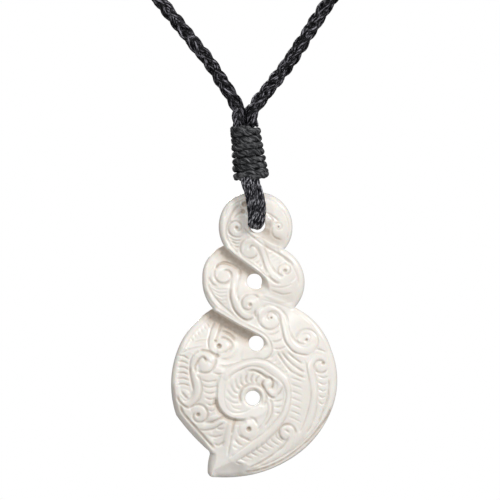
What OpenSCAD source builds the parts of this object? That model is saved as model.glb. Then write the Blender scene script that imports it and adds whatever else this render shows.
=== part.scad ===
// Necklace with a carved bone twist pendant on a braided cord.
// The origin is the middle of the neck loop's nape, +Z is up, and the carved front faces -Y.

/* [Pendant] */
// Height of the bone pendant, from the ring's top to the hooked bottom
pendant_h = 65.3; // [50:0.1:75]
// Thickness of the bone
bone_t = 5.2; // [4.4:0.1:6]
// Diameter of the suspension hole
hang_hole_d = 4.1; // [3.8:0.1:4.6]
// Diameter of the upper and middle holes of the twist
twist_hole_d = 3.5; // [2.5:0.1:4]
// Diameter of the hole in the spiral's eye
eye_hole_d = 3.4; // [2.5:0.1:4]
// Depth of the step where one strand passes under the other
step_depth = 1.5; // [0.8:0.1:2]

/* [Bail and binding] */
// Width of the strand bundle that holds the pendant, seen from the front
bail_w = 4.1; // [3:0.1:5]
// Thickness of each leg of the bundle, front to back
bail_t = 2.1; // [1.5:0.1:2.4]
// Thickness of the bundle where it passes through the hole
bail_core_d = 3.2; // [2.4:0.1:3.4]
// Height of the whipped binding
binding_h = 12.4; // [9:0.1:16]
// Diameter of the binding at its foot
binding_foot_d = 8.6; // [7:0.1:10]
// Diameter of the binding at its top
binding_top_d = 6.8; // [6.4:0.1:8]
// Turns of thread in the binding
binding_turns = 9; // [6:1:12]
// Lean of the binding and the bail from the vertical, in degrees
hang_lean = 7.2; // [0:0.1:10]

/* [Neck loop] */
// Diameter of the braided cord
cord_d = 3; // [2.6:0.1:3.2]
// Diameter of the closure
closure_d = 5.4; // [4:0.1:7]

/* [Hidden] */
$fn = 64;
bone_colour = "ivory";
cord_colour = [0.07, 0.07, 0.08];
thread_colour = [0.22, 0.23, 0.24];

// Names of the columns in the tables below
X = 0;
Z = 1;
RISE = 2;

// Centre of the suspension hole
hang = [2.7, -14, -177];
// Height above the suspension hole at which the binding starts
binding_foot = 9.8;
// Height above the hole at which the legs of the bail bend in to the binding
bail_bend = 8;
// Gap between the bone and the legs of the bail
bail_gap = 0.2;
// Middle of the bundle where it passes through the hole, which hangs from it
core_rise = 0.35;
// Half the distance between the two legs' middles inside the binding
leg_join = 2.2;

// Length of the closure at the nape, between the ends of the two halves of the cord
closure_len = 18;

// The outline table is drawn for a pendant of this height
drawn_h = 65.3;
k = pendant_h / drawn_h;
arc_steps = 10;
far = 60;

// Outline of the pendant from the suspension hole, clockwise seen from the front:
// x, z of a point, and how far the arc to the next point rises outwards
OUTLINE = [
    [-7.6, -5.0, 1.8],
    [-6.2, 5.4, 0.6],
    [-0.1, 7.2, 2.5],
    [8.1, -1.0, 0.5],
    [6.2, -5.9, 3.4],
    [8.6, -19.2, 1.4],
    [17.0, -28.9, 1.4],
    [16.9, -43.0, 1.3],
    [6.7, -54.4, 1.3],
    [-9.8, -58.0, 0.5],
    [-11.3, -56.5, 0.15],
    [-10.8, -52.8, -0.2],
    [-11.5, -51.6, 0.3],
    [-18.5, -43.8, 1.7],
    [-17.3, -26.9, 0.7],
    [-10.1, -19.4, 0.7],
    [-12.5, -12.7, 1.5],
];

// Through-holes below the suspension hole: x, z
TWIST_HOLES = [[-0.6, -13.2], [-0.2, -27.4]];
EYE = [-1.0, -39.9];
// Middle and radius of the round field that the hook's ridge curls about
EYE_FIELD = [-1.2, -39.4];
eye_field_r = 6.4;
eye_field_depth = 0.5;
eye_boss_r = 2.6;

// Where a strand dips under its neighbour: the edge of the strand on top, x and z along it,
// with the rise of each arc
UNDER_FIRST = [[-8.2, -4.2, -0.8], [2.6, -13.0, 1.4], [0.6, -15.2, 0]];
UNDER_SECOND = [[-10.6, -18.6, -0.8], [3.0, -27.6, 1.2], [1.0, -29.6, 0]];
OVER_FIRST = [[-2.1, -0.6, 0.4], [7.2, -6.2, 0]];
OVER_SECOND = [[-2.6, -13.6, 0.4], [9.6, -19.8, 0]];
under_slope = 17;
over_slope = 9;
// Edges of the pendant: how far each layer is drawn in, and its share of the thickness
EDGE_LAYERS = [[0, 0.52], [0.3, 0.78], [0.85, 1]];

// Routes of the cord from the binding's top to the closure, points chosen along the neck loop
ROUTE_RIGHT = [
    [1.6, -14, -154.7], [1.5, -14, -153], [1.7, -14, -151.5], [2.6, -14, -149.8], [10.3, -14, -139.6],
    [19.4, -13.5, -125.8], [31.5, -12, -107], [43, -10, -89.5], [53.5, -8.2, -73], [61.2, -6.5, -56.5],
    [64.5, -4.9, -40.5], [62, -3.2, -25], [53, -1.8, -12.5], [40, -0.8, -4.5], [26, -0.2, -1],
    [13, 0, 0], [9.1, 0, 0],
];
ROUTE_LEFT = [
    [-1.6, -14, -155], [-1.7, -14, -153], [-1.6, -14, -151.5], [-2, -14, -149.8], [-8.6, -14, -139.6],
    [-19.6, -13.5, -125.8], [-33, -12, -108], [-45, -10, -91], [-55, -8.2, -74], [-62, -6.5, -57.5],
    [-64.5, -4.9, -41], [-61.8, -3.2, -25.5], [-53, -1.8, -12.5], [-40, -0.8, -4.5], [-26, -0.2, -1],
    [-13, 0, 0], [-9.1, 0, 0],
];
cord_sides = 8;
rings_per_span = 2;

function unit(v) = v / norm(v);

// Points of one arc from p to q that rises to the left of its run, without q itself
function arc_points(p, q, rise) =
    abs(rise) < 0.01 ? [p] :
    let (
        span = norm(q - p),
        left = unit([p[1] - q[1], q[0] - p[0]]),
        side = sign(rise),
        radius = (span * span / 4 + rise * rise) / (2 * abs(rise)),
        middle = (p + q) / 2 + left * side * (abs(rise) - radius),
        start = atan2(p[1] - middle[1], p[0] - middle[0]),
        turn = -side * 2 * asin(span / 2 / radius)
    )
    [for (i = [0:arc_steps - 1])
        middle + radius * [cos(start + turn * i / arc_steps), sin(start + turn * i / arc_steps)]];

// Points of a whole table of arcs, closed or open
function chain(table, closed) = [
    for (i = [0:len(table) - (closed ? 1 : 2)])
        let (a = table[i], b = table[(i + 1) % len(table)])
        each arc_points([a[X], a[Z]] * k, [b[X], b[Z]] * k, a[RISE] * k),
    if (!closed) [table[len(table) - 1][X], table[len(table) - 1][Z]] * k
];

// Catmull-Rom curve through a route's points
function curve_point(a, b, c, d, t) =
    0.5 * (2 * b + (c - a) * t + (2 * a - 5 * b + 4 * c - d) * t * t + (3 * b - a - 3 * c + d) * t * t * t);
function route_points(route) = let (last = len(route) - 1) [
    for (i = [0:last - 1], s = [0:rings_per_span - 1])
        curve_point(route[max(i - 1, 0)], route[i], route[i + 1], route[min(i + 2, last)], s / rings_per_span),
    route[last]
];

// Tube along a route that stays close to the XZ plane
module tube(route, d) {
    path = route_points(route);
    last = len(path) - 1;
    rings = [
        for (i = [0:last])
            let (
                along = unit(path[min(i + 1, last)] - path[max(i - 1, 0)]),
                across = unit(cross(along, [0, 1, 0])),
                third = cross(along, across)
            )
            for (j = [0:cord_sides - 1])
                path[i] + d / 2 * (cos(360 * j / cord_sides) * across + sin(360 * j / cord_sides) * third)
    ];
    sides = [
        for (i = [0:last - 1], j = [0:cord_sides - 1])
            let (n = (j + 1) % cord_sides, here = i * cord_sides, next = here + cord_sides)
            [here + j, next + j, next + n, here + n]
    ];
    first_cap = [for (j = [0:cord_sides - 1]) j];
    last_cap = [for (j = [cord_sides - 1:-1:0]) last * cord_sides + j];
    polyhedron(points = rings, faces = concat(sides, [first_cap, last_cap]));
}

// From drawing space, with the outline in XY and the front at +Z, to the hanging pendant
module stand_up() {
    translate(hang) rotate([90, 0, 0]) children();
}

module outline() {
    polygon(chain(OUTLINE, true));
}

module bone_blank() {
    for (layer = EDGE_LAYERS)
        linear_extrude(bone_t * layer[1], center = true)
            offset(delta = -layer[0]) outline();
}

// Sloping pocket beside a strand's edge: deepest at the edge, it rises to the surface away from it.
// side is 1 for the pocket below the edge and -1 for the one above it.
module dip(edge, side, depth, slope) {
    points = chain(edge, false);
    first = points[0];
    last = points[len(points) - 1];
    run = atan2(last[1] - first[1], last[0] - first[0]);
    away = side * far * [sin(run), -cos(run)];
    intersection() {
        linear_extrude(far) polygon(concat(points, [last + away, first + away]));
        translate([first[0], first[1], bone_t / 2 - depth])
            rotate([0, 0, run])
                rotate([-side * slope, 0, 0])
                    translate([-far, -far, 0]) cube([2 * far, 2 * far, far]);
    }
}

// Sunk field about the spiral's eye, with a boss left round its hole
module eye_field() {
    difference() {
        translate([EYE_FIELD[0], EYE_FIELD[1], 0] * k + [0, 0, bone_t / 2 - eye_field_depth])
            cylinder(r = eye_field_r * k, h = far);
        translate([EYE[0], EYE[1], 0] * k) cylinder(r = eye_boss_r * k, h = far);
    }
}

module through_hole(place, d) {
    translate([place[0] * k, place[1] * k, 0]) cylinder(d = d, h = far, center = true);
}

module pendant() {
    color(bone_colour)
    stand_up()
    difference() {
        bone_blank();
        dip(UNDER_FIRST, 1, step_depth, under_slope);
        dip(UNDER_SECOND, 1, step_depth, under_slope);
        dip(OVER_FIRST, -1, step_depth * 0.6, over_slope);
        dip(OVER_SECOND, -1, step_depth * 0.6, over_slope);
        eye_field();
        through_hole([0, 0], hang_hole_d);
        for (place = TWIST_HOLES) through_hole(place, twist_hole_d);
        through_hole(EYE, eye_hole_d);
    }
}

// The bail and the binding share an axis that leans from the suspension hole to the cords
module on_hanger() {
    translate(hang) rotate([0, -hang_lean, 0]) children();
}

// Side view of the front leg, x to the front and y up, from the hole up to the binding
module leg_profile() {
    inner = bone_t / 2 + bail_gap;
    outer = inner + bail_t;
    polygon([
        [inner, core_rise - bail_core_d / 2],
        [outer - 0.6, core_rise - bail_core_d / 2],
        [outer, core_rise - bail_core_d / 2 + 0.8],
        [outer, bail_bend + 0.3],
        [leg_join + bail_t / 2, binding_foot],
        [leg_join - bail_t / 2, binding_foot],
        [inner, bail_bend],
    ]);
}

module bail_loop() {
    color(cord_colour)
    on_hanger() {
        for (side = [0, 180])
            rotate([0, 0, side])
                intersection() {
                    rotate([90, 0, -90]) linear_extrude(bail_w, center = true) leg_profile();
                    union() {
                        translate([0, 0, core_rise - bail_core_d / 2 + bail_w / 2])
                            rotate([90, 0, 0]) cylinder(d = bail_w, h = far, center = true);
                        translate([-bail_w / 2, -far / 2, core_rise - bail_core_d / 2 + bail_w / 2])
                            cube([bail_w, far, far]);
                    }
                }
        translate([0, 0, core_rise])
            rotate([90, 0, 0]) cylinder(d = bail_core_d, h = bone_t + 2 * bail_gap + 0.6, center = true);
    }
}

module binding() {
    pitch = binding_h / binding_turns;
    bead = pitch / 2;
    color(thread_colour)
    on_hanger()
    translate([0, 0, binding_foot])
    rotate_extrude() {
        polygon([
            [0, 0], [binding_foot_d / 2 - bead, 0],
            [binding_top_d / 2 - bead, binding_h], [0, binding_h],
        ]);
        for (i = [0:binding_turns - 1])
            translate([
                binding_foot_d / 2 - bead - (binding_foot_d - binding_top_d) / 2 * i / (binding_turns - 1),
                pitch * (i + 0.5)
            ])
                circle(r = bead * 0.999);
    }
}

module cord_left() {
    color(cord_colour) tube(ROUTE_LEFT, cord_d);
}

module cord_right() {
    color(cord_colour) tube(ROUTE_RIGHT, cord_d);
}

module closure() {
    edge = 0.6;
    color(thread_colour)
    rotate([0, 90, 0])
    rotate_extrude()
    polygon([
        [0, -closure_len / 2], [closure_d / 2 - edge, -closure_len / 2],
        [closure_d / 2, -closure_len / 2 + edge], [closure_d / 2, closure_len / 2 - edge],
        [closure_d / 2 - edge, closure_len / 2], [0, closure_len / 2],
    ]);
}

pendant();
bail_loop();
binding();
cord_left();
cord_right();
closure();
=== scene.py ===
"""Necklace with a carved bone twist pendant on a black braided cord.

Lengths in the tables are millimetres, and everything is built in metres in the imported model's frame:
the origin is at the nape, +Z is up, and the carved front of the pendant faces -Y.
"""

import math

import bpy
import numpy as np
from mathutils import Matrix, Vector, geometry


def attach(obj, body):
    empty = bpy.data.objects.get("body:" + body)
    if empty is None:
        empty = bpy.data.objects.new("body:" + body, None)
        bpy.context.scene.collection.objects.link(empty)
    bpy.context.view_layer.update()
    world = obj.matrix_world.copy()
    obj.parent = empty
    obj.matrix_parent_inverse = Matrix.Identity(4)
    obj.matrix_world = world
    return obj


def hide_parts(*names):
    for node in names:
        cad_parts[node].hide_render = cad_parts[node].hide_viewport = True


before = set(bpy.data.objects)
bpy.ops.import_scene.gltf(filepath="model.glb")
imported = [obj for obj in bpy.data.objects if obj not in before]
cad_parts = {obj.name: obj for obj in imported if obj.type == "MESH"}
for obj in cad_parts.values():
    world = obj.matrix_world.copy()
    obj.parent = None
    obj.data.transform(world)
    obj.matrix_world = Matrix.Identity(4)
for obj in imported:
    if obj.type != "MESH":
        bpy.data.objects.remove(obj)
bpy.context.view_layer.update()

MM = 0.001

# ---------- camera
VIEW_MIDDLE = (1.1, -14, -183.04)  # middle of the picture, in the plane of the pendant
VIEW_WIDTH = 114.4  # what the picture is wide there
VIEW_DISTANCE = 1600

camera_data = bpy.data.cameras.new("camera")
camera_data.lens = camera_data.sensor_width * VIEW_DISTANCE / VIEW_WIDTH
camera_data.clip_start, camera_data.clip_end = 0.1, 20
camera = bpy.data.objects.new("camera", camera_data)
camera.location = [c * MM for c in (VIEW_MIDDLE[0], VIEW_MIDDLE[1] - VIEW_DISTANCE, VIEW_MIDDLE[2])]
camera.rotation_euler = (math.pi / 2, 0, 0)
bpy.context.scene.collection.objects.link(camera)
bpy.context.scene.camera = camera


# ---------- helpers for curves and meshes
def curve_through(points, per_span):
    """A Catmull-Rom curve through the points, as in part.scad."""
    p = np.array(points, float)
    last = len(p) - 1
    made = []
    for i in range(last):
        a, b, c, d = p[max(i - 1, 0)], p[i], p[i + 1], p[min(i + 2, last)]
        for t in np.arange(per_span) / per_span:
            made.append(0.5 * (2 * b + (c - a) * t + (2 * a - 5 * b + 4 * c - d) * t ** 2
                               + (3 * b - a - 3 * c + d) * t ** 3))
    return np.array(made + [p[last]])


def travelled(line):
    """How far along a line each of its points is."""
    return np.concatenate([[0], np.cumsum(np.linalg.norm(np.diff(line, axis=0), axis=1))])


def evenly(points, step):
    """The same line with points about one step apart, and the distance along it of each."""
    along = travelled(points)
    count = max(2, round(along[-1] / step) + 1)
    s = np.linspace(0, along[-1], count)
    return np.column_stack([np.interp(s, along, points[:, k]) for k in range(points.shape[1])]), s


def unit(v):
    return v / np.maximum(np.linalg.norm(v, axis=-1, keepdims=True), 1e-9)


def smooth(t):
    """0 below 0, 1 above 1, and a soft rise between."""
    t = np.clip(t, 0, 1)
    return t * t * (3 - 2 * t)


def waver(s, size, period, start):
    """A strand's slow unevenness at distances along it."""
    return size * np.sin(s / period + start)


def directions(line, out):
    """Unit directions at each point of a line: outwards, square to the line, and to its side."""
    along = unit(np.gradient(line, axis=0))
    out = unit(out - (out * along).sum(1, keepdims=True) * along)
    return out, np.cross(along, out)


def mesh_object(name, points, faces, body, slot, **layers):
    """A mesh of points in millimetres that rides on a body. Each layer holds a number or vector for each."""
    mesh = bpy.data.meshes.new(name)
    mesh.from_pydata([tuple(p) for p in (np.asarray(points) * MM).tolist()], [], faces)
    for layer, values in layers.items():
        kind, field = ("FLOAT", "value") if values.ndim == 1 else ("FLOAT_VECTOR", "vector")
        mesh.attributes.new(layer, kind, "POINT").data.foreach_set(field, values.astype(np.float32).ravel())
    mesh.validate()
    mesh.polygons.foreach_set("use_smooth", [True] * len(mesh.polygons))
    made = bpy.data.objects.new(name, mesh)
    bpy.context.scene.collection.objects.link(made)
    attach(made, body)
    return made


APART = 7.3  # between strands laid out straight, so that their threads differ


def strand(line, out, width, thick, sides, ply=0.0, number=0):
    """An oval strand along a line: its points, its faces, and where each point lies on the strand laid out
    straight, for the thread in its material. out points away from the middle of the cord, and the strand is
    width across it and thick along it. Both may vary along the line. Its thread turns once in a ply."""
    count = len(line)
    out, side = directions(line, out)
    turn = np.arange(sides) * 2 * math.pi / sides
    wide, deep = (np.broadcast_to(v, count)[:, None] / 2 for v in (width, thick))
    u, v = np.cos(turn) * wide, np.sin(turn) * deep
    rings = line[:, None] + u[..., None] * side[:, None] + v[..., None] * out[:, None]
    here = np.arange(count - 1)[:, None] * sides + np.arange(sides)
    turned = np.arange(count - 1)[:, None] * sides + (np.arange(sides) + 1) % sides
    faces = np.stack([here, turned, turned + sides, here + sides], -1).reshape(-1, 4).tolist()
    faces += [list(range(sides))[::-1], list(range((count - 1) * sides, count * sides))]
    s = travelled(line)[:, None]
    spin = 2 * math.pi * s / ply if ply else 0 * s
    laid = np.stack([s + 0 * u, u * np.cos(spin) - v * np.sin(spin) + APART * number,
                     u * np.sin(spin) + v * np.cos(spin)], -1)
    return rings.reshape(-1, 3), faces, laid.reshape(-1, 3)


PLY_OUT, PLY_WIDTH, PLY_THICK = 0.20, 0.66, 0.62  # of a thread's plies, as shares of the thread's size
PLY_SIDES = 8


def two_ply(line, out, width, thick, pitch, number):
    """A thread of two plies that are twisted round each other, as two strands."""
    out, side = directions(line, out)
    s = travelled(line)
    width, thick = (np.broadcast_to(v, len(line)) for v in (width, thick))
    plies = []
    for ply in (0, 1):
        turn = 2 * math.pi * s / pitch + math.pi * ply + 1.7 * number + waver(s, 0.7, 1.9, number)
        a, b = np.cos(turn)[:, None], np.sin(turn)[:, None]
        way = PLY_OUT * (a * thick[:, None] * out + b * width[:, None] * side)
        plies.append(strand(line + way, a * out + b * side, PLY_WIDTH * width, PLY_THICK * thick, PLY_SIDES,
                            number=2 * number + ply))
    return plies


def joined(strands):
    """Points, faces and laid-out places of several strands as one mesh."""
    points, faces, laid, first = [], [], [], 0
    for p, f, where in strands:
        points.append(p)
        laid.append(where)
        faces += [[first + i for i in face] for face in f]
        first += len(p)
    return np.concatenate(points), faces, np.concatenate(laid)


# ---------- neck loop
CORD_D = 3
FULLER = 1.09  # the braid's own size over that of the plain cord
BRAID_STEP, BRAID_PITCH = 0.5, 13  # between its points, and one turn of a strand round it
# Shares of the braid's size: width and thickness of a strand, how far it goes in and out, and the core
BRAID_WIDE, BRAID_THICK, BRAID_WEAVE, BRAID_CORE = 0.41, 0.24, 0.085, 0.54
BRAID_OUT = 0.53  # from the middle to a strand's outer side where it is on top
BRAID_PLY = 11  # one turn of a strand's thread
# Just above the binding the two arms press against each other: where, over what height, and by what share
PRESSED_BELOW, PRESSED_OVER, PRESSED = -150.2, 1.6, 0.15
CLOSURE_D = 5.4
CLOSURE_LENGTH = 18
ROUTE_RIGHT = [
    (1.6, -14, -154.7), (1.5, -14, -153), (1.7, -14, -151.5), (2.6, -14, -149.8), (10.3, -14, -139.6),
    (19.4, -13.5, -125.8), (31.5, -12, -107), (43, -10, -89.5), (53.5, -8.2, -73), (61.2, -6.5, -56.5),
    (64.5, -4.9, -40.5), (62, -3.2, -25), (53, -1.8, -12.5), (40, -0.8, -4.5), (26, -0.2, -1), (13, 0, 0),
    (9.1, 0, 0),
]
ROUTE_LEFT = [
    (-1.6, -14, -155), (-1.7, -14, -153), (-1.6, -14, -151.5), (-2, -14, -149.8), (-8.6, -14, -139.6),
    (-19.6, -13.5, -125.8), (-33, -12, -108), (-45, -10, -91), (-55, -8.2, -74), (-62, -6.5, -57.5),
    (-64.5, -4.9, -41), (-61.8, -3.2, -25.5), (-53, -1.8, -12.5), (-40, -0.8, -4.5), (-26, -0.2, -1),
    (-13, 0, 0), (-9.1, 0, 0),
]


def braid(line, d):
    """A round braid of eight strands, four of each hand, that pass over two and under two of the others. What
    shows are four rows of strands along the cord, leaning by turns, and the rows turn slowly round it."""
    line, s = evenly(line, BRAID_STEP)
    along = unit(np.gradient(line, axis=0))
    across = unit(np.cross(along, (0, 1, 0)))
    third = np.cross(along, across)
    thick, weave = BRAID_THICK * d, BRAID_WEAVE * d
    reach = BRAID_OUT * d - thick / 2 - weave
    rows = math.pi / 4 * smooth(s / s[-1]) + waver(s, 0.2, 13, 0)
    strands = [strand(line, across, BRAID_CORE * d, BRAID_CORE * d, 6)]
    for hand in (1, -1):
        for start in np.arange(4) * math.pi / 2:
            turn = hand * 2 * math.pi * s / BRAID_PITCH + start + waver(s, 0.16, 3.7, 2.6 * start + hand)
            out = np.cos(turn)[:, None] * across + np.sin(turn)[:, None] * third
            rise = reach - hand * weave * np.cos(2 * (turn - rows))
            rise += waver(s, 0.028 * d, 1.3, 3.3 * start + hand)
            width = BRAID_WIDE * d * (1 + waver(s, 0.13, 2.3, 1.9 * start))
            strands.append(strand(line + out * rise[:, None], out, width, thick, 9, -BRAID_PLY * hand,
                                  len(strands)))
    return joined(strands)


neck_line = np.concatenate([curve_through(ROUTE_RIGHT, 12), curve_through(ROUTE_LEFT, 12)[::-1]])
closer = PRESSED * smooth((PRESSED_BELOW - neck_line[:, 2]) / PRESSED_OVER)
points, faces, laid = braid(neck_line - np.outer(closer * neck_line[:, 0], (1, 0, 0)), CORD_D * FULLER)
neck_cord = mesh_object("neck_cord", points, faces, "necklace", "cord", laid=laid)
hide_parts("cord_left", "cord_right")

# ---------- whipped binding and closure
HANG = (2.7, -14, -177)  # middle of the suspension hole
LEAN = 7.2  # of the binding and the bail to the left, in degrees
BINDING_FOOT = 9.8  # above the hole, along the leaning axis
BINDING_H = 13.0
BINDING_R = (4.3, 3.4)  # at the foot and at the top
BINDING_TURNS = 8
BINDING_THREAD = (1.78, 1.45)  # width and thickness
CLOSURE_TURNS = 13
CLOSURE_THREAD = (1.5, 1.1)
THREAD_PITCH = 5.0  # one turn of a thread's two plies
TURN_POINTS = 44
CLIMB_FROM, CLIMB_OVER = 0.30, 0.4  # where in a turn, from its front, the thread climbs to the next
WOUND_UNEVEN = (0.09, 0.12, 0.11)  # of the turns: in height, in thickness (a share of it) and outwards
SAG, RIPPLE = 0.10, 0.13  # of a turn at its front, and of the thread along a turn
FIRST_TURN_LEANS = 0.45
CORE_SHORT, CORE_RINGS, CORE_SIDES = 0.35, 9, 40  # the core ends that far inside the whipping


def leaning(points):
    """Points given from the hole, with z along the leaning axis, placed in the frame."""
    c, s = math.cos(math.radians(LEAN)), math.sin(math.radians(LEAN))
    x, y, z = np.asarray(points, float).T
    return np.column_stack([x * c - z * s, y, x * s + z * c]) + HANG


def whipping(height, radii, turns, thread, seed, foot_grip=0.0):
    """Thread wound round the z axis from 0 up to a height: a helix that climbs at the back, round a core.
    With a foot grip, the first turn is that much fatter and leans down to the left."""
    chance = np.random.default_rng(seed)
    turn = np.linspace(0, turns, turns * TURN_POINTS + 1)
    whole, part = np.floor(turn), turn % 1
    pitch = (height - thread[0]) / (turns - 1 + 0.15)
    climbed = whole + smooth((part - CLIMB_FROM) / CLIMB_OVER)
    own = chance.uniform(-1, 1, (3, turns + 2))
    lift, swell, bulge = (size * np.interp(turn, np.arange(turns + 2) - 0.5, row)
                          for size, row in zip(WOUND_UNEVEN, own))
    z = thread[0] / 2 + pitch * np.clip(climbed - 0.45, 0, turns - 0.85) + lift
    share = np.clip(z / height, 0, 1)
    fat = 1 + swell + foot_grip * np.exp(-(turn / 0.9) ** 2)
    r = radii[0] + (radii[1] - radii[0]) * share - thread[1] * fat / 2 + bulge
    angle = -math.pi / 2 + 2 * math.pi * turn
    ripple = RIPPLE * np.sin(7 * angle + 5 * own[0][whole.astype(int)])
    z = z - SAG * np.cos(angle + math.pi / 2) + ripple
    z = z + FIRST_TURN_LEANS * np.cos(angle) * np.exp(-(turn / 1.1) ** 2) * (foot_grip > 0)
    line = np.column_stack([r * np.cos(angle), r * np.sin(angle), z])
    out = np.column_stack([np.cos(angle), np.sin(angle), 0 * angle])
    wound = two_ply(line, out, thread[0] * fat, thread[1] * fat, THREAD_PITCH, seed)
    levels = np.linspace(CORE_SHORT, height - CORE_SHORT, CORE_RINGS)
    inner = radii[0] + (radii[1] - radii[0]) * levels / height - 0.75 * thread[1]
    inner[0] -= 0.5
    inner[-1] -= 0.4
    rise = np.column_stack([0 * levels, 0 * levels, levels])
    core = strand(rise, np.tile((1.0, 0, 0), (CORE_RINGS, 1)), 2 * inner, 2 * inner, CORE_SIDES, 0, seed + 1)
    return joined(wound + [core])


points, faces, laid = whipping(BINDING_H, BINDING_R, BINDING_TURNS, BINDING_THREAD, 11, 0.10)
points = leaning(points + (0, 0, BINDING_FOOT))
binding = mesh_object("whipping", points, faces, "necklace", "thread", laid=laid)
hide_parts("binding")

points, faces, laid = whipping(CLOSURE_LENGTH, (CLOSURE_D / 2,) * 2, CLOSURE_TURNS, CLOSURE_THREAD, 23)
points = points[:, [2, 0, 1]] - (CLOSURE_LENGTH / 2, 0, 0)
clasp = mesh_object("nape_whipping", points, faces, "necklace", "thread", laid=laid)
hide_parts("closure")

# ---------- bail, a bundle of waxed strands
# The bundle's middle from inside the binding, in front of the ring, to the hole: x, y, z, half its width,
# half its thickness
BAIL_FRONT = [
    (-0.4, -1.9, 12.4, 2.1, 1), (-0.4, -2.5, 11, 2.2, 1), (-0.25, -3.5, 8.8, 2.2, 1.02),
    (0.14, -3.86, 7.2, 2.2, 1.05), (0.42, -3.88, 4.3, 2.3, 1.05), (0.3, -3.85, 2.2, 2.15, 1.05),
    (0, -3.75, 1, 2.12, 1.05), (-0.3, -3.16, 0.06, 1.95, 1.12), (-0.03, -2, -0.14, 1.3, 1.24),
    (0, -0.9, -0.13, 1.3, 1.24), (0, 0, -0.13, 1.3, 1.26),
]
# Strands in each layer, where their middles lie, and how thick each is, as shares of the bundle
BAIL_LAYERS = ((12, 0.82, 0.225), (6, 0.42, 0.25))
BAIL_STEP, BAIL_TURN = 0.3, 0.085  # between its points, and how far it turns along one millimetre
BAIL_THREAD_PITCH = 5.5
BAIL_THREAD_FLAT = 1.15  # its width over its thickness


def bundle(table, layers, seed):
    """Strands that lie round each other along the table's line and its mirror image at the back."""
    rows = np.array(table)
    back = rows[-2::-1] * (1, -1, 1, 1, 1)
    way, s = evenly(curve_through(np.concatenate([rows, back]), 8), BAIL_STEP)
    middle = way[:, :3]
    along = unit(np.gradient(middle, axis=0))
    across = np.tile((1.0, 0, 0), (len(s), 1))
    third = np.cross(along, across)
    chance = np.random.default_rng(seed)
    strands = []
    for count, reach, share in layers:
        for k in range(count):
            phase = 2 * math.pi * (k + chance.uniform(-0.12, 0.12)) / count
            turn = phase + BAIL_TURN * (s - s[-1] / 2) + waver(s, 0.10, 3.1, chance.uniform(0, 6))
            far = reach * (1 + waver(s, 0.04, 1.9, chance.uniform(0, 6)))
            a, b = np.cos(turn) * far, np.sin(turn) * far
            line = middle + (a * way[:, 3])[:, None] * across + (b * way[:, 4])[:, None] * third
            out = np.cos(turn)[:, None] * across * way[:, 4:5] + np.sin(turn)[:, None] * third * way[:, 3:4]
            size = 2 * share * np.sqrt(way[:, 3] * way[:, 4])
            strands += two_ply(line, out, size * BAIL_THREAD_FLAT, size, BAIL_THREAD_PITCH, len(strands))
    return joined(strands)


points, faces, laid = bundle(BAIL_FRONT, BAIL_LAYERS, 31)
bail = mesh_object("bail_strands", leaning(points), faces, "necklace", "strands", laid=laid)
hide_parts("bail_loop")

# ---------- pendant: its carving, charted
# Every chart below gives x and z in millimetres from the suspension hole, seen from the front.
BONE_T = 5.2
FACE = BONE_T / 2 - 0.13  # height of the plain face over the middle of the bone

# Outline, clockwise: x, z of a point, and how far the arc to the next point rises outwards
OUTLINE = [
    (-7.6, -5, 1.8), (-6.2, 5.4, 0.6), (-0.1, 7.2, 2.5), (8.1, -1, 0.5), (6.2, -5.9, 3.4), (8.6, -19.2, 1.4),
    (17, -28.9, 1.4), (16.9, -43, 1.3), (6.7, -54.4, 1.3), (-9.8, -58, 0.5), (-11.3, -56.5, 0.15),
    (-10.8, -52.8, -0.2), (-11.5, -51.6, 0.3), (-18.5, -43.8, 1.7), (-17.3, -26.9, 0.7), (-10.1, -19.4, 0.7),
    (-12.5, -12.7, 1.5),
]

# Through-holes: x, z, diameter, and how far their rounded edges reach over the face
HOLES = [
    (0.08, -0.28, 3.56, 0.6),
    (-0.6, -13.2, 3.5, 0.45),
    (-0.2, -27.4, 3.5, 0.45),
    (-1.0, -39.9, 3.4, 0.75),
]

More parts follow.
